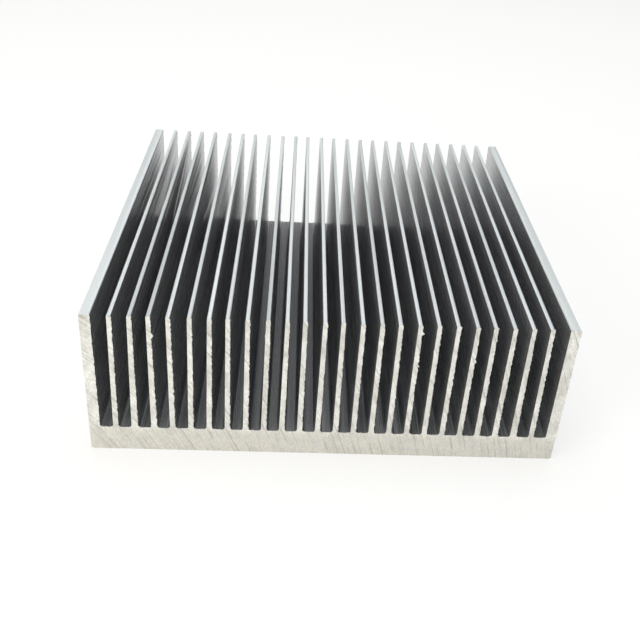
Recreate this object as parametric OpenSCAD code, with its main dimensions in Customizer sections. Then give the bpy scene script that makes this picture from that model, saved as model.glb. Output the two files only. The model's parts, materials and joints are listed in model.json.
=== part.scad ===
// Extruded aluminium heat sink: a flat base with a dense row of thin upright fins
// between two thicker outer walls, sawn square to length and open at both ends.
// X runs across the fins, Y along the channels, Z up from the mounting face.
// The origin is the centre of the flat underside.

/* [Body] */
// Width across the fins, over the outer faces of both outer walls
body_w = 80; // [60:1:160]
// Sawn length, along the channels
cut_len = 80; // [20:1:300]
// Height from the underside to the tips of the fins
body_h = 27; // [15:0.5:60]
// Thickness of the base plate under the channels
base_t = 4.7; // [2:0.1:10]
// Radius along the two lower edges of the base
base_edge_r = 0.4; // [0.1:0.05:1.5]

/* [Outer walls] */
// Thickness of each outer wall
wall_t = 1.75; // [1:0.05:4]
// Radius along both edges of an outer wall's tip
wall_tip_r = 0.2; // [0.05:0.05:0.45]

/* [Fins] */
// Number of thin fins between the outer walls
fin_count = 24; // [6:1:36]
// Thickness of a fin at its tip
fin_tip_t = 0.68; // [0.5:0.02:1.2]
// Thickness of a fin where it meets the base
fin_root_t = 0.84; // [0.5:0.02:1.4]
// The same for the second fin in from each outer wall, the stoutest
second_root_t = 1.06; // [0.5:0.02:1.4]
// The same for the third fin in from each outer wall
third_root_t = 0.94; // [0.5:0.02:1.4]
// Radius along both edges of a fin's tip
fin_tip_r = 0.14; // [0.04:0.02:0.22]

/* [Channels] */
// Fillet radius along both lower corners of every channel
root_r = 0.35; // [0.1:0.05:0.6]

/* [Hidden] */
$fn = 48;

// Height of the fins and outer walls above the channel floor
fin_h = body_h - base_t;

// Root thickness of fin i, counted from the -X side, and of all fins up to it
function root_t(i) = let (inward = min(i, fin_count + 1 - i))
    inward == 2 ? second_root_t : inward == 3 ? third_root_t : fin_root_t;
function roots_up_to(i) = i < 1 ? 0 : roots_up_to(i - 1) + root_t(i);

// The fins are spaced so that every channel is equally wide at its floor
channel_w = (body_w - 2 * wall_t - roots_up_to(fin_count)) / (fin_count + 1);
function fin_x(i) =
    -body_w / 2 + wall_t + i * channel_w + roots_up_to(i) - root_t(i) / 2;

// The fillets of a very narrow channel leave a tenth of its floor flat
fillet_r = min(root_r, 0.45 * channel_w);

// A leaf's sides lean in by this angle, so the channels open upwards
function draft(root, tip) = atan((root - tip) / 2 / fin_h);

// Draws its children on the +X side as they are, or on the -X side mirrored
module on_side(side) {
    mirror([side < 0 ? 1 : 0, 0]) children();
}

// Upright leaf standing on y = 0, tapering from root to tip over fin_h,
// with both edges of its tip rounded by arcs that run into its sides
module leaf(root, tip, tip_r) {
    lean = draft(root, tip);
    arc_x = tip / 2 + tip_r * tan(lean) - tip_r / cos(lean);
    arc_y = fin_h - tip_r;
    side_x = arc_x + tip_r * cos(lean);
    side_y = arc_y + tip_r * sin(lean);
    polygon([
        [-root / 2, 0], [root / 2, 0], [side_x, side_y],
        [arc_x, fin_h], [-arc_x, fin_h], [-side_x, side_y]
    ]);
    for (side = [-1, 1])
        translate([side * arc_x, arc_y]) circle(tip_r);
}

// Fillet between the channel floor, y = 0, and a side that rises from x = 0
// and leans back by lean, with the channel on its +X side
module root_fillet(lean) {
    bury = fillet_r / 2;
    arc_x = fillet_r / cos(lean) - fillet_r * tan(lean);
    arc_top = fillet_r - fillet_r * sin(lean);
    difference() {
        translate([-bury, -bury]) square([bury + arc_x, bury + arc_top]);
        translate([arc_x, fillet_r]) circle(fillet_r);
    }
}

// Base plate with its two lower edges rounded, from y = 0 up to base_t
module base_section() {
    difference() {
        translate([-body_w / 2, 0]) square([body_w, base_t]);
        for (side = [-1, 1])
            on_side(side) translate([body_w / 2 - base_edge_r, base_edge_r])
                difference() {
                    translate([0, -2 * base_edge_r]) square(2 * base_edge_r);
                    circle(base_edge_r);
                }
    }
}

// Outer wall on the +X side, flush with the side of the base
module wall_section() {
    translate([(body_w - wall_t) / 2, 0]) leaf(wall_t, wall_t, wall_tip_r);
    translate([body_w / 2 - wall_t, 0]) on_side(-1) root_fillet(0);
}

// One thin fin, with a fillet at each side of its root
module fin_section(root) {
    leaf(root, fin_tip_t, fin_tip_r);
    for (side = [-1, 1])
        on_side(side) translate([root / 2, 0]) root_fillet(draft(root, fin_tip_t));
}

// The whole profile, as it leaves the die
module profile() {
    base_section();
    translate([0, base_t]) {
        for (side = [-1, 1]) on_side(side) wall_section();
        for (i = [1 : fin_count]) translate([fin_x(i), 0]) fin_section(root_t(i));
    }
}

// The profile runs along Y, sawn off square at both ends
module heat_sink() {
    color("gainsboro")
        rotate([90, 0, 0]) linear_extrude(cut_len, center = true) profile();
}

heat_sink();
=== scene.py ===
"""Looks of an extruded heat sink: one finned aluminium extrusion, sawn to length.

The piece is modelled here again with the marks that sawing and handling leave: ragged
burrs on the sawn ends, fins that lean a little, saw marks and drawing lines.
Everything is in metres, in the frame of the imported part: X across the fins, Y along
the channels, Z up from the flat underside.
"""

import json
import math
import random

import bmesh
import bpy
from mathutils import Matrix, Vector

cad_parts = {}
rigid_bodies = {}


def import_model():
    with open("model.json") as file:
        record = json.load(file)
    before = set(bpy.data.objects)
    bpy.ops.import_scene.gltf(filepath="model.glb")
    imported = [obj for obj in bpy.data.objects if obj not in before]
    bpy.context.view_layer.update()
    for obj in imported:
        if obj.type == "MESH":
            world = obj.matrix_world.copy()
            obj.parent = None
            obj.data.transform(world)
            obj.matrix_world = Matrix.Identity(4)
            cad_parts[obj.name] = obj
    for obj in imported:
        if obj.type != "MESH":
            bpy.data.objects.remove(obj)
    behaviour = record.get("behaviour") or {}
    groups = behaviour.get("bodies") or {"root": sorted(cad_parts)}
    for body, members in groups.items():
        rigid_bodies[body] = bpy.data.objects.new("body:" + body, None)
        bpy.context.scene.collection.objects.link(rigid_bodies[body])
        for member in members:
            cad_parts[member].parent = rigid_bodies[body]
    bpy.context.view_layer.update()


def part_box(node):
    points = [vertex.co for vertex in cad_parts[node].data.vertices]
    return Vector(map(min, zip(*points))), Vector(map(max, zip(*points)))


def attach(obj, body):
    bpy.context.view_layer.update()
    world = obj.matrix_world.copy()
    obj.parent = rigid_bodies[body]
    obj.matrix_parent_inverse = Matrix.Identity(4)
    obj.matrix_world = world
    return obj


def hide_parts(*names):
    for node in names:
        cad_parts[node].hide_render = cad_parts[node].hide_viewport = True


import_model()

MM = 0.001

# The extrusion, from the frame's box and the profile's own sizes
LOW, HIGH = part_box("heat_sink")
WIDTH = HIGH.x - LOW.x
LENGTH = HIGH.y - LOW.y
HEIGHT = HIGH.z - LOW.z
BASE_T = 4.7 * MM
WALL_T = 1.75 * MM
FIN_COUNT = 24
FIN_TIP_T = 0.68 * MM
FIN_TIP_R = 0.14 * MM
WALL_TIP_R = 0.2 * MM
ROOT_R = 0.35 * MM
BASE_EDGE_R = 0.4 * MM
FIN_H = HEIGHT - BASE_T

# Root thickness of most fins, and of the stouter second and third ones from each wall
FIN_ROOT_T = 0.84 * MM
STOUT_ROOTS = {2: 1.06 * MM, 3: 0.94 * MM}
ROOTS = [
    STOUT_ROOTS.get(min(n, FIN_COUNT + 1 - n), FIN_ROOT_T) for n in range(1, FIN_COUNT + 1)
]
CHANNEL_W = (WIDTH - 2 * WALL_T - sum(ROOTS)) / (FIN_COUNT + 1)

# Faces around each fillet and along each rounded tip
FILLET_STEPS = 4
TIP_STEPS = 3

# The sawn ends: rows of faces just inside each end, the spacing of cuts in them, and how
# far those cuts keep from the fillets and from the rounded tips
END_ROWS = (0.08 * MM, 0.3 * MM)
END_STEP = 0.16 * MM
BASE_STEP = 0.3 * MM
FILLET_GAP = 0.02 * MM
TIP_GAP = 0.25 * MM

# How the fins stand: most lean by well under a degree, and the rows lean inwards a little
LEAN_SEED = 8617109
LEAN_MEAN = math.radians(0.2)
LEAN_INWARD = math.radians(0.35)
LEAN_SPREAD = math.radians(0.35)

# The front was not sawn quite square to the channels: its end face and the rows just
# behind it are turned by this much
FRONT_SKEW = math.radians(0.85)
SKEW_DEPTH = 1.0 * MM

# Burrs on the sawn edges: how far they reach, the size and sharpness of their teeth, the
# noise level that leaves an edge where it is, and the share that the next row moves
SIDE_BURR = 0.18 * MM
FLOOR_BURR = 0.12 * MM
TIP_BURR = 0.10 * MM
BURR_SIZE = 0.28 * MM
BURR_CONTRAST = 2.0
BURR_REST = 0.2
LIP_SHARE = 0.25

# Splinters on the front: fin, depth below its tip, side, reach and height. They hang
# down and outwards by a share of their reach
SPLINTER_DROOP = 0.3
SPLINTERS = (
    (3, 3.4 * MM, 1, 0.40 * MM, 0.7 * MM),
    (5, 3.2 * MM, 1, 0.20 * MM, 0.35 * MM),
    (9, 2.9 * MM, -1, 0.12 * MM, 0.5 * MM),
    (17, 1.4 * MM, 1, 0.42 * MM, 0.6 * MM),
    (17, 7.9 * MM, 1, 0.24 * MM, 0.35 * MM),
    (18, 4.8 * MM, -1, 0.16 * MM, 0.4 * MM),
    (20, 6.6 * MM, 1, 0.22 * MM, 0.4 * MM),
    (21, 10.7 * MM, 1, 0.16 * MM, 0.6 * MM),
    (22, 10.5 * MM, -1, 0.14 * MM, 0.35 * MM),
)

# Colours of bare aluminium, and the tint of its mill finish seen at a flat angle
MILL_COLOUR = (0.66, 0.67, 0.67, 1.0)
MILL_DARK = (0.60, 0.605, 0.62, 1.0)
MILL_EDGE = (0.78, 0.78, 0.78, 1.0)
# Tips and wall tops: a little paler from rubbing, and painted paler and bluer still as painted light,
# for the light their tops catch from above
TIP_WEAR_AND_LIGHT_COLOUR = (0.80, 0.82, 0.82, 1.0)
TIP_WEAR_AND_LIGHT_DARK = (0.68, 0.705, 0.71, 1.0)
SAWN_COLOUR = (0.93, 0.925, 0.89, 1.0)
SAWN_SHADE = (0.74, 0.73, 0.69, 1.0)
# Painted shade and a painted warm reflection of the table on the sawn face, from the top of the base
# down
SAWN_PAINTED_LOW_SHADE = (0.78, 0.765, 0.70, 1.0)
SAWN_LINE = (0.42, 0.405, 0.36, 1.0)

# The saw: where its blade turned, as seen from the front, and how far it fed
BLADE_AT = (-75.0 * MM, -24.0 * MM)
FEED = 1.5 * MM

# Scales of the surface noises across X, Y and Z, per metre
DIE_LINES = (5200.0, 9.0, 5200.0)
DIE_BANDS = (900.0, 14.0, 900.0)
STEP_FADE = (260.0, 60.0, 260.0)
ARC_FADE = (500.0, 60.0, 500.0)
SAW_PATCHES = (420.0, 100.0, 300.0)
SAW_GRAIN = (2600.0, 400.0, 1900.0)

# Scales of the noises along a blade radius, per metre, and how much the feed wanders
FEED_WANDER_SCALE = 250.0
FEED_WANDER = 2.2
ARC_SCALE = 2600.0

# Depth of the surface relief that is only shaded
RELIEF = 0.01 * MM
SAW_RELIEF = 0.02 * MM

# Roughness range of each finish
MILL_ROUGH = (0.26, 0.29)
RUBBED_ROUGH = (0.5, 0.62)
SAWN_ROUGH = (0.5, 0.65)

# How much each saw mark darkens the sawn face
MARK_SHARES = (("Grain", 0.3), ("Arcs", 0.3), ("Steps", 0.8))


# ---------------------------------------------------------------- modelling helpers

def deselect_all():
    """Leave nothing selected, so that the next operator acts on what it should."""
    for other in bpy.context.view_layer.objects:
        other.select_set(False)


def edit(piece):
    """Open one piece in edit mode with nothing selected."""
    deselect_all()
    bpy.context.view_layer.objects.active = piece
    piece.select_set(True)
    bpy.ops.object.mode_set(mode="EDIT")
    bpy.ops.mesh.select_mode(type="FACE")
    bpy.ops.mesh.select_all(action="DESELECT")


def done():
    """Close edit mode."""
    bpy.ops.object.mode_set(mode="OBJECT")


def pick_faces(piece, test):
    """Select the faces whose centre and normal pass the test."""
    bpy.ops.mesh.select_mode(type="FACE")
    mesh = bmesh.from_edit_mesh(piece.data)
    for face in mesh.faces:
        face.select_set(False)
    for face in mesh.faces:
        if test(face.calc_center_median(), face.normal):
            face.select_set(True)
    bmesh.update_edit_mesh(piece.data)


def pick_edges(piece, test):
    """Select the edges whose two ends pass the test."""
    bpy.ops.mesh.select_mode(type="EDGE")
    mesh = bmesh.from_edit_mesh(piece.data)
    for edge in mesh.edges:
        edge.select_set(False)
    for edge in mesh.edges:
        if test(edge.verts[0].co, edge.verts[1].co):
            edge.select_set(True)
    bmesh.update_edit_mesh(piece.data)


def pick_points(piece, test):
    """Select the points that pass the test."""
    bpy.ops.mesh.select_mode(type="VERT")
    mesh = bmesh.from_edit_mesh(piece.data)
    for point in mesh.verts:
        point.select_set(test(point.co))
    mesh.select_flush_mode()
    bmesh.update_edit_mesh(piece.data)


def near(a, b, slack=1e-6):
    """True where two lengths are the same, within a micron."""
    return abs(a - b) < slack


def cut(axis, place):
    """Cut what is selected with a plane across one axis."""
    at = [0.0, 0.0, 0.0]
    at[axis] = place
    facing = [0.0, 0.0, 0.0]
    facing[axis] = 1.0
    bpy.ops.mesh.bisect(plane_co=at, plane_no=facing)


def steps(low, high, step):
    """Evenly spaced places strictly between low and high, about step apart."""
    count = max(1, round((high - low) / step))
    return [low + (high - low) * n / count for n in range(1, count)]


# ---------------------------------------------------------------- the extrusion

def model_bay(name, side_low, side_high, leaf_low, leaf_high, tip_t, tip_r):
    """One bay of the profile: a stretch of base with one upright leaf on it.

    The sides that meet the neighbouring bays are left open, so that bays set side by
    side weld into one closed piece.
    """
    middle = (side_low + side_high) / 2
    bpy.ops.mesh.primitive_cube_add(size=1.0, location=(middle, 0.0, BASE_T / 2))
    bay = bpy.context.active_object
    bay.name = name
    bay.scale = (side_high - side_low, LENGTH, BASE_T)
    bpy.ops.object.transform_apply(location=True, rotation=True, scale=True)

    edit(bay)
    open_low = not near(side_low, leaf_low)
    open_high = not near(side_high, leaf_high)
    pick_faces(bay, lambda at, to: (to.x < -0.5 and open_low) or (to.x > 0.5 and open_high))
    bpy.ops.mesh.delete(type="FACE")

    # The foot of the leaf, and the leaf drawn up from it
    leaf_sides = [x for x, is_open in ((leaf_low, open_low), (leaf_high, open_high)) if is_open]
    for place in leaf_sides:
        bpy.ops.mesh.select_all(action="SELECT")
        cut(0, place)
    centre = (leaf_low + leaf_high) / 2
    pick_faces(bay, lambda at, to: to.z > 0.5 and leaf_low < at.x < leaf_high)
    bpy.ops.mesh.extrude_region_move(TRANSFORM_OT_translate={"value": (0.0, 0.0, FIN_H)})
    taper = tip_t / (leaf_high - leaf_low)
    bpy.ops.transform.resize(value=(taper, 1.0, 1.0), center_override=(centre, 0.0, HEIGHT))

    # Fillets at its foot, and the rounded edges of its tip and of the base
    pick_edges(bay, lambda a, b: all(
        near(p.z, BASE_T) and any(near(p.x, x) for x in leaf_sides) for p in (a, b)
    ))
    bpy.ops.mesh.bevel(offset=ROOT_R, segments=FILLET_STEPS, profile=0.5, affect="EDGES")
    pick_edges(bay, lambda a, b: near(a.z, HEIGHT) and near(b.z, HEIGHT) and near(a.x, b.x))
    bpy.ops.mesh.bevel(offset=tip_r, segments=TIP_STEPS, profile=0.5, affect="EDGES")
    closed_sides = [x for x, is_open in ((side_low, open_low), (side_high, open_high)) if not is_open]
    if closed_sides:
        pick_edges(bay, lambda a, b: all(
            near(p.z, 0.0) and any(near(p.x, x) for x in closed_sides) for p in (a, b)
        ))
        bpy.ops.mesh.bevel(
            offset=BASE_EDGE_R, segments=FILLET_STEPS, profile=0.5, affect="EDGES"
        )

    cut_end_rows(bay)
    done()
    return bay


def cut_end_rows(bay):
    """Cut the ends of a bay fine enough for burrs and saw marks."""
    for inset in END_ROWS:
        for end in (-1, 1):
            bpy.ops.mesh.select_all(action="SELECT")
            cut(1, end * (LENGTH / 2 - inset))
    deepest = LENGTH / 2 - max(END_ROWS)
    foot = BASE_T + ROOT_R + FILLET_GAP
    shoulder = HEIGHT - TIP_GAP
    for level in [foot, *steps(foot, shoulder, END_STEP), shoulder]:
        pick_faces(bay, lambda at, to: abs(at.y) > deepest and at.z > BASE_T + ROOT_R * 0.5)
        cut(2, level)
    for level in [*steps(0.0, BASE_T, BASE_STEP), BASE_T]:
        pick_faces(bay, lambda at, to: abs(to.y) > 0.5 and at.z < BASE_T + ROOT_R)
        cut(2, level)
    xs = [p.co.x for p in bmesh.from_edit_mesh(bay.data).verts]
    for place in steps(min(xs), max(xs), BASE_STEP):
        pick_faces(bay, lambda at, to: abs(at.y) > deepest and at.z < BASE_T + 0.01 * MM)
        cut(0, place)


def place_copy(blank, name, foot_x, lean):
    """Copy a bay to its place along the profile and lean its leaf about its foot."""
    bay = blank.copy()
    bay.data = blank.data.copy()
    bay.name = name
    bpy.context.collection.objects.link(bay)
    edit(bay)
    bpy.ops.mesh.select_all(action="SELECT")
    bpy.ops.transform.translate(value=(foot_x, 0.0, 0.0))
    pick_points(bay, lambda p: p.z > BASE_T + ROOT_R * 1.01)
    bpy.ops.transform.rotate(
        value=-lean, orient_axis="Y", center_override=(foot_x, 0.0, BASE_T)
    )
    done()
    return bay


def weld(bays, name):
    """Join the bays into one closed piece."""
    deselect_all()
    for bay in bays:
        bay.select_set(True)
    bpy.context.view_layer.objects.active = bays[0]
    bpy.ops.object.join()
    piece = bpy.context.active_object
    piece.name = name
    edit(piece)
    bpy.ops.mesh.select_all(action="SELECT")
    bpy.ops.mesh.remove_doubles(threshold=2e-6)
    done()
    return piece


def fin_places():
    """Where each fin stands and how far it leans."""
    draw = random.Random(LEAN_SEED)
    middle = (FIN_COUNT + 1) / 2
    places = []
    for n in range(1, FIN_COUNT + 1):
        before = WALL_T + n * CHANNEL_W + sum(ROOTS[:n - 1])
        foot_x = -WIDTH / 2 + before + ROOTS[n - 1] / 2
        inward = LEAN_MEAN - LEAN_INWARD * (n - middle) / middle
        places.append((foot_x, draw.gauss(inward, LEAN_SPREAD)))
    return places


def model_extrusion(places):
    """The whole profile: outer wall, fins, outer wall."""
    half = WIDTH / 2
    blanks = {}
    for root in sorted(set(ROOTS)):
        side = (root + CHANNEL_W) / 2
        blanks[root] = model_bay(
            "fin_bay", -side, side, -root / 2, root / 2, FIN_TIP_T, FIN_TIP_R
        )
    wall_bays = [
        model_bay(
            "wall_bay_low", -half, -half + WALL_T + CHANNEL_W / 2, -half, -half + WALL_T,
            WALL_T, WALL_TIP_R,
        ),
        model_bay(
            "wall_bay_high", half - WALL_T - CHANNEL_W / 2, half, half - WALL_T, half,
            WALL_T, WALL_TIP_R,
        ),
    ]
    bays = []
    for n, (foot_x, lean) in enumerate(places, 1):
        bays.append(place_copy(blanks[ROOTS[n - 1]], f"bay_{n:02d}", foot_x, lean))
    for blank in blanks.values():
        bpy.data.objects.remove(blank)
    return weld(bays + wall_bays, "finned_extrusion")


def skew_front(piece):
    """Turn the front end face, with the rows just behind it, out of square."""
    front = -LENGTH / 2
    edit(piece)
    pick_points(piece, lambda p: p.y < front + SKEW_DEPTH)
    bpy.ops.transform.rotate(
        value=-FRONT_SKEW, orient_axis="Z", center_override=(0.0, front, 0.0)
    )
    done()


# ---------------------------------------------------------------- burrs

def ragged_edge(piece, name, axis, above, below, reach):
    """Push the sawn edges of the faces that look along an axis out into an uneven burr."""
    burr = piece.vertex_groups.new(name=name)
    points = set()
    for face in piece.data.polygons:
        if face.normal[axis] > 0.6 and above < face.center.z < below:
            points.update(face.vertices)
    for index in points:
        inset = LENGTH / 2 - abs(piece.data.vertices[index].co.y)
        if near(inset, 0.0):
            burr.add([index], 1.0, "REPLACE")
        elif near(inset, END_ROWS[0]):
            burr.add([index], LIP_SHARE, "REPLACE")
    teeth = bpy.data.textures.new(name, "CLOUDS")
    teeth.noise_scale = BURR_SIZE
    teeth.noise_depth = 1
    teeth.contrast = BURR_CONTRAST
    push = piece.modifiers.new(name, "DISPLACE")
    push.texture = teeth
    push.texture_coords = "LOCAL"
    push.direction = "XYZ"[axis]
    push.vertex_group = name
    push.mid_level = BURR_REST
    push.strength = reach
    bpy.context.view_layer.objects.active = piece
    bpy.ops.object.modifier_apply(modifier=name)
    piece.vertex_groups.remove(piece.vertex_groups[name])


def draw_out(piece, place, move, size):
    """Draw the point nearest a place out of the surface, and its neighbours with it."""
    edit(piece)
    bpy.ops.mesh.select_mode(type="VERT")
    mesh = bmesh.from_edit_mesh(piece.data)
    nearest = min(mesh.verts, key=lambda point: (point.co - place).length_squared)
    nearest.select_set(True)
    bmesh.update_edit_mesh(piece.data)
    bpy.ops.transform.translate(
        value=move, use_proportional_edit=True, proportional_edit_falloff="SHARP",
        proportional_size=size,
    )
    done()


def raise_burrs(piece, places):
    """The ragged edges that the saw leaves where its teeth come out of the metal."""
    ragged_edge(piece, "side_burr", 0, BASE_T, HEIGHT, SIDE_BURR)
    ragged_edge(piece, "floor_burr", 2, BASE_T - ROOT_R, BASE_T + ROOT_R, FLOOR_BURR)
    ragged_edge(piece, "tip_burr", 2, HEIGHT - 0.5 * MM, HEIGHT + 0.5 * MM, TIP_BURR)
    for fin, depth, side, reach, size in SPLINTERS:
        foot_x, lean = places[fin - 1]
        level = HEIGHT - depth
        edge_x = foot_x + side * FIN_TIP_T / 2 + math.tan(lean) * (level - BASE_T)
        droop = SPLINTER_DROOP * reach
        move = (side * reach, -droop, -droop)
        draw_out(piece, Vector((edge_x, -LENGTH / 2, level)), move, size)


fins = fin_places()
extrusion = model_extrusion(fins)


# ---------------------------------------------------------------- materials

def new_group(name, inputs, outputs):
    """An empty shader node group with named inputs and outputs."""
    group = bpy.data.node_groups.new(name, "ShaderNodeTree")
    for label, kind, value in inputs:
        socket = group.interface.new_socket(name=label, in_out="INPUT", socket_type=kind)
        if value is not None:
            socket.default_value = value
    for label, kind in outputs:
        group.interface.new_socket(name=label, in_out="OUTPUT", socket_type=kind)
    start = group.nodes.new("NodeGroupInput")
    end = group.nodes.new("NodeGroupOutput")
    return group, start, end


def math_node(tree, operation, a, b=None):
    """A Math node with its first two inputs linked or set."""
    node = tree.nodes.new("ShaderNodeMath")
    node.operation = operation
    for socket, value in zip(node.inputs, (a, b)):
        if value is None:
            continue
        if isinstance(value, (int, float)):
            socket.default_value = value
        else:
            tree.links.new(value, socket)
    return node.outputs[0]


def remap(tree, value, low, high, to_low=0.0, to_high=1.0):
    """Map one range of a value onto another, smoothly."""
    node = tree.nodes.new("ShaderNodeMapRange")
    node.interpolation_type = "SMOOTHSTEP"
    node.inputs["From Min"].default_value = low
    node.inputs["From Max"].default_value = high
    node.inputs["To Min"].default_value = to_low
    node.inputs["To Max"].default_value = to_high
    tree.links.new(value, node.inputs["Value"])
    return node.outputs["Result"]


def stretched_noise(tree, vector, scale, detail=2.0):
    """Noise in object space, stretched by a scale for each axis (per metre)."""
    mapping = tree.nodes.new("ShaderNodeMapping")
    mapping.inputs["Scale"].default_value = scale
    noise = tree.nodes.new("ShaderNodeTexNoise")
    noise.inputs["Scale"].default_value = 1.0
    noise.inputs["Detail"].default_value = detail
    tree.links.new(vector, mapping.inputs["Vector"])
    tree.links.new(mapping.outputs["Vector"], noise.inputs["Vector"])
    return noise.outputs["Fac"]


def line_noise(tree, value, scale, detail=1.0):
    """Noise along one value, so that it is the same all along a line or an arc."""
    noise = tree.nodes.new("ShaderNodeTexNoise")
    noise.noise_dimensions = "1D"
    noise.inputs["Scale"].default_value = scale
    noise.inputs["Detail"].default_value = detail
    tree.links.new(value, noise.inputs["W"])
    return noise.outputs["Fac"]


def drawing_lines_group():
    """Fine lines that the die leaves along the profile, and slow bands between them."""
    group, start, end = new_group(
        "drawing_lines",
        [("Vector", "NodeSocketVector", None)],
        [("Lines", "NodeSocketFloat"), ("Bands", "NodeSocketFloat")],
    )
    fine = stretched_noise(group, start.outputs["Vector"], DIE_LINES, 3.0)
    broad = stretched_noise(group, start.outputs["Vector"], DIE_BANDS, 2.0)
    group.links.new(remap(group, fine, 0.35, 0.65), end.inputs["Lines"])
    group.links.new(remap(group, broad, 0.3, 0.7), end.inputs["Bands"])
    return group


def saw_marks_group():
    """What a round saw leaves on a cut end: feed steps, fine arcs and crumbly patches."""
    group, start, end = new_group(
        "saw_marks",
        [("Vector", "NodeSocketVector", None)],
        [
            ("Steps", "NodeSocketFloat"),
            ("Arcs", "NodeSocketFloat"),
            ("Patches", "NodeSocketFloat"),
            ("Grain", "NodeSocketFloat"),
        ],
    )
    vector = start.outputs["Vector"]
    centred = group.nodes.new("ShaderNodeMapping")
    centred.inputs["Location"].default_value = (-BLADE_AT[0], 0.0, -BLADE_AT[1])
    centred.inputs["Scale"].default_value = (1.0, 0.0, 1.0)
    group.links.new(vector, centred.inputs["Vector"])
    length = group.nodes.new("ShaderNodeVectorMath")
    length.operation = "LENGTH"
    group.links.new(centred.outputs["Vector"], length.inputs[0])
    radius = length.outputs["Value"]

    # One step for each feed of the saw, not quite even, fading in and out along its arc
    wander = math_node(
        group, "MULTIPLY", line_noise(group, radius, FEED_WANDER_SCALE), FEED_WANDER
    )
    turns = math_node(group, "ADD", math_node(group, "MULTIPLY", radius, 1.0 / FEED), wander)
    from_line = math_node(group, "PINGPONG", turns, 0.5)
    line = remap(group, from_line, 0.0, 0.09, 1.0, 0.0)
    fade = remap(group, stretched_noise(group, vector, STEP_FADE), 0.40, 0.62)
    group.links.new(math_node(group, "MULTIPLY", line, fade), end.inputs["Steps"])

    # Fine arcs between them
    fine = remap(group, line_noise(group, radius, ARC_SCALE, 3.0), 0.35, 0.7)
    strength = remap(group, stretched_noise(group, vector, ARC_FADE), 0.35, 0.65)
    group.links.new(math_node(group, "MULTIPLY", fine, strength), end.inputs["Arcs"])

    patches = stretched_noise(group, vector, SAW_PATCHES, 4.0)
    group.links.new(remap(group, patches, 0.38, 0.66), end.inputs["Patches"])
    grain = stretched_noise(group, vector, SAW_GRAIN, 3.0)
    group.links.new(remap(group, grain, 0.3, 0.7), end.inputs["Grain"])
    return group


def metal(name, colour, metallic):
    """A material with one Principled shader, metal with a small matt share."""
    material = bpy.data.materials.new(name)
    material.use_nodes = True
    shader = material.node_tree.nodes["Principled BSDF"]
    shader.inputs["Metallic"].default_value = metallic
    shader.inputs["Base Color"].default_value = colour
    place = material.node_tree.nodes.new("ShaderNodeTexCoord").outputs["Object"]
    return material, material.node_tree, shader, place


def use_group(tree, group, vector):
    """Place a node group in a material and feed it object coordinates."""
    node = tree.nodes.new("ShaderNodeGroup")
    node.node_tree = group
    tree.links.new(vector, node.inputs["Vector"])
    return node


def mix_colours(tree, mask, a, b):
    """Blend two colours by a mask."""
    node = tree.nodes.new("ShaderNodeMix")
    node.data_type = "RGBA"
    tree.links.new(mask, node.inputs["Factor"])
    for socket, value in ((node.inputs[6], a), (node.inputs[7], b)):
        if hasattr(value, "links"):
            tree.links.new(value, socket)
        else:
            socket.default_value = value
    return node.outputs[2]


def bump(tree, shader, height, depth, strength):
    """Raise the surface by a height, for shading only."""
    node = tree.nodes.new("ShaderNodeBump")
    node.inputs["Strength"].default_value = strength
    node.inputs["Distance"].default_value = depth
    tree.links.new(height, node.inputs["Height"])
    tree.links.new(node.outputs["Normal"], shader.inputs["Normal"])


def mill_finish(lines_group):
    """Bare extruded surface: satin, with lines along the profile."""
    material, tree, shader, place = metal("mill_finish", MILL_COLOUR, 0.88)
    shader.inputs["Specular Tint"].default_value = MILL_EDGE
    lines = use_group(tree, lines_group, place)
    colour = mix_colours(tree, lines.outputs["Bands"], MILL_DARK, MILL_COLOUR)
    tree.links.new(colour, shader.inputs["Base Color"])
    rough = remap(tree, lines.outputs["Lines"], 0.0, 1.0, *MILL_ROUGH)
    tree.links.new(rough, shader.inputs["Roughness"])
    bump(tree, shader, lines.outputs["Lines"], RELIEF, 0.01)
    return material


def worn_and_top_lit_metal(lines_group):
    """Tips and wall tops: less shiny and a little paler from rubbing, and painted paler and bluer
    still for the light they catch from above, with lines along them.
    """
    material, tree, shader, place = metal("worn_and_top_lit_tips", TIP_WEAR_AND_LIGHT_COLOUR, 0.75)
    lines = use_group(tree, lines_group, place)
    colour = mix_colours(tree, lines.outputs["Bands"], TIP_WEAR_AND_LIGHT_DARK, TIP_WEAR_AND_LIGHT_COLOUR)
    tree.links.new(colour, shader.inputs["Base Color"])
    rough = remap(tree, lines.outputs["Lines"], 0.0, 1.0, *RUBBED_ROUGH)
    tree.links.new(rough, shader.inputs["Roughness"])
    bump(tree, shader, lines.outputs["Lines"], RELIEF, 0.15)
    return material


def sawn_metal(marks_group):
    """Sawn ends: bright, rough, and crossed by the arcs of the saw."""
    material, tree, shader, place = metal("sawn_face", SAWN_COLOUR, 0.7)
    marks = use_group(tree, marks_group, place)
    height = tree.nodes.new("ShaderNodeSeparateXYZ")
    tree.links.new(place, height.inputs[0])
    # Painted shade: the sawn face is darker and warmer from the top of the base down, standing in for
    # the shaded, warm table that it reflects
    low_shade = remap(tree, height.outputs["Z"], BASE_T - 1.2 * MM, BASE_T + 0.8 * MM, 1.0, 0.0)
    plain = mix_colours(tree, low_shade, SAWN_COLOUR, SAWN_PAINTED_LOW_SHADE)
    colour = mix_colours(tree, marks.outputs["Patches"], plain, SAWN_SHADE)
    for mask, share in MARK_SHARES:
        amount = math_node(tree, "MULTIPLY", marks.outputs[mask], share)
        colour = mix_colours(tree, amount, colour, SAWN_LINE)
    tree.links.new(colour, shader.inputs["Base Color"])
    rough = remap(tree, marks.outputs["Arcs"], 0.0, 1.0, *SAWN_ROUGH)
    tree.links.new(rough, shader.inputs["Roughness"])
    relief = math_node(tree, "ADD", marks.outputs["Arcs"], marks.outputs["Grain"])
    relief = math_node(tree, "SUBTRACT", relief, marks.outputs["Steps"])
    bump(tree, shader, relief, SAW_RELIEF, 0.5)
    return material


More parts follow.
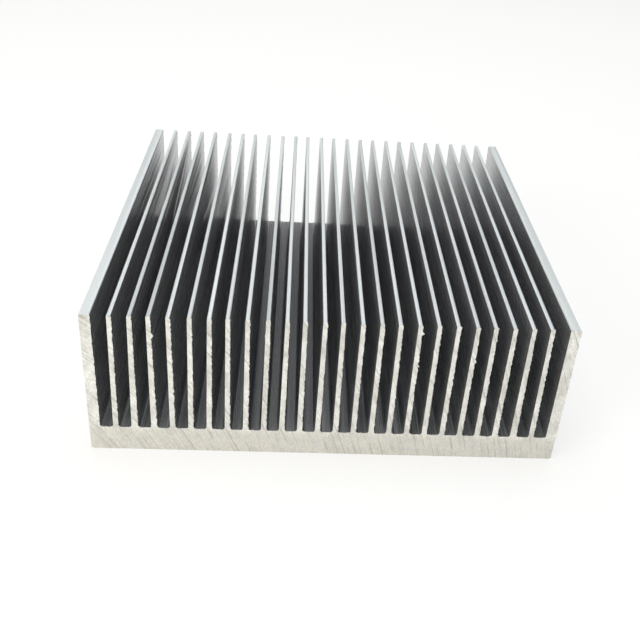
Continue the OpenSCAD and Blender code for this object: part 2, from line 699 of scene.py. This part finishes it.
def dress(piece, mill, sawn, worn_and_top_lit):
    """Give the sawn ends, the tips and everything else their own materials."""
    piece.data.materials.clear()
    for material in (mill, sawn, worn_and_top_lit):
        piece.data.materials.append(material)
    edit(piece)
    inside = LENGTH / 2 - min(END_ROWS) / 2
    pick_faces(piece, lambda at, to: abs(at.y) > inside and abs(to.y) > 0.5)
    piece.active_material_index = 1
    bpy.ops.object.material_slot_assign()
    crown = HEIGHT - WALL_TIP_R
    pick_faces(piece, lambda at, to: at.z > crown and to.z > 0.35)
    piece.active_material_index = 2
    bpy.ops.object.material_slot_assign()
    done()


lines_of_the_die = drawing_lines_group()
dress(
    extrusion, mill_finish(lines_of_the_die), sawn_metal(saw_marks_group()),
    worn_and_top_lit_metal(lines_of_the_die),
)
raise_burrs(extrusion, fins)
skew_front(extrusion)
deselect_all()
extrusion.select_set(True)
bpy.context.view_layer.objects.active = extrusion
bpy.ops.object.shade_smooth_by_angle(angle=math.radians(30.0))

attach(extrusion, "root")
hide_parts("heat_sink")


# ---------------------------------------------------------------- floor, light, camera

# The room as metal reflects it: heights of its horizon, walls and ceiling, as the Z of a
# direction, with their levels
ROOM_DIM = 0.18
ROOM_LEVELS = ((0.02, 0.95), (0.25, ROOM_DIM), (0.8, ROOM_DIM * 1.5))

# The room's plain light on everything else, and the share of the table that is plain white
ROOM_LIGHT = 0.4
TABLE_GLOW = 0.68
TABLE_SIZE = 6.0
TABLE_GAP = 0.02 * MM
TABLE_COLOUR = (0.93, 0.915, 0.87, 1.0)
WHITE = (1.0, 1.0, 1.0, 1.0)

# Soft lights: name, place, aim, size, power and tint
LIGHTS = (
    ("key_light", (-0.24, -0.24, 0.17), (0.0, 0.0, 0.01), (0.22, 0.18), 0.8, (1.0, 0.96, 0.88)),
    ("top_light", (0.0, 0.10, 0.5), (0.0, 0.0, 0.0), (0.5, 0.4), 2.1, (0.93, 0.98, 1.0)),
)

# The camera, with its turns in degrees
CAMERA_AT = (-7.16 * MM, -157.9 * MM, 102.9 * MM)
CAMERA_TURNS = (58.302, -3.494, -1.056)
CAMERA_LENS = 49.93
CAMERA_SHIFT = (-0.0188, -0.0219)


def background_shader(tree, colour, strength):
    """A plain world light."""
    node = tree.nodes.new("ShaderNodeBackground")
    node.inputs["Color"].default_value = colour
    node.inputs["Strength"].default_value = strength
    return node.outputs[0]


def surroundings():
    """A white horizon for the camera, and a dimmer room above the table in reflections."""
    world = bpy.data.worlds.new("studio")
    bpy.context.scene.world = world
    world.use_nodes = True
    tree = world.node_tree
    tree.nodes.clear()
    out = tree.nodes.new("ShaderNodeOutputWorld")
    path = tree.nodes.new("ShaderNodeLightPath")
    height = tree.nodes.new("ShaderNodeSeparateXYZ")
    tree.links.new(tree.nodes.new("ShaderNodeTexCoord").outputs["Generated"], height.inputs[0])
    room = tree.nodes.new("ShaderNodeValToRGB")
    stops = room.color_ramp.elements
    stops.new(ROOM_LEVELS[2][0])
    for stop, (place, level) in zip(stops, ROOM_LEVELS):
        stop.position = place
        stop.color = (level, level, level, 1.0)
    tree.links.new(height.outputs["Z"], room.inputs["Fac"])
    mirrored = tree.nodes.new("ShaderNodeBackground")
    tree.links.new(room.outputs["Color"], mirrored.inputs["Color"])
    reflected = tree.nodes.new("ShaderNodeMixShader")
    tree.links.new(path.outputs["Is Glossy Ray"], reflected.inputs[0])
    tree.links.new(background_shader(tree, WHITE, ROOM_LIGHT), reflected.inputs[1])
    tree.links.new(mirrored.outputs[0], reflected.inputs[2])
    seen = tree.nodes.new("ShaderNodeMixShader")
    tree.links.new(path.outputs["Is Camera Ray"], seen.inputs[0])
    tree.links.new(reflected.outputs[0], seen.inputs[1])
    tree.links.new(background_shader(tree, WHITE, 1.0), seen.inputs[2])
    tree.links.new(seen.outputs[0], out.inputs["Surface"])


def floor():
    """A wide white table that keeps a faint shadow."""
    bpy.ops.mesh.primitive_plane_add(size=TABLE_SIZE, location=(0.0, 0.0, -TABLE_GAP))
    table = bpy.context.active_object
    table.name = "floor"
    material = bpy.data.materials.new("white_table")
    material.use_nodes = True
    tree = material.node_tree
    tree.nodes.clear()
    out = tree.nodes.new("ShaderNodeOutputMaterial")
    matt = tree.nodes.new("ShaderNodeBsdfDiffuse")
    matt.inputs["Color"].default_value = TABLE_COLOUR
    glow = tree.nodes.new("ShaderNodeEmission")
    path = tree.nodes.new("ShaderNodeLightPath")
    seen = math_node(tree, "MAXIMUM", path.outputs["Is Camera Ray"], path.outputs["Is Glossy Ray"])
    share = math_node(tree, "MULTIPLY", seen, TABLE_GLOW)
    mix = tree.nodes.new("ShaderNodeMixShader")
    tree.links.new(share, mix.inputs[0])
    tree.links.new(matt.outputs[0], mix.inputs[1])
    tree.links.new(glow.outputs[0], mix.inputs[2])
    tree.links.new(mix.outputs[0], out.inputs["Surface"])
    table.data.materials.append(material)


def softbox(name, place, aim, size, power, tint):
    """A rectangular soft light aimed at a point."""
    lamp = bpy.data.lights.new(name, "AREA")
    lamp.shape = "RECTANGLE"
    lamp.size, lamp.size_y = size
    lamp.energy = power
    lamp.color = tint
    holder = bpy.data.objects.new(name, lamp)
    holder.location = place
    holder.rotation_euler = (Vector(aim) - Vector(place)).to_track_quat("-Z", "Y").to_euler()
    holder.visible_camera = False
    bpy.context.collection.objects.link(holder)


def camera():
    """Looks down along the channels from in front, a little left of the middle."""
    lens = bpy.data.cameras.new("camera")
    lens.sensor_width = 36.0
    lens.lens = CAMERA_LENS
    lens.shift_x, lens.shift_y = CAMERA_SHIFT
    lens.clip_start = 0.01
    holder = bpy.data.objects.new("camera", lens)
    holder.location = CAMERA_AT
    holder.rotation_euler = tuple(math.radians(turn) for turn in CAMERA_TURNS)
    bpy.context.collection.objects.link(holder)
    bpy.context.scene.camera = holder


surroundings()
floor()
for light in LIGHTS:
    softbox(*light)
camera()
bpy.context.scene.view_settings.view_transform = "Standard"
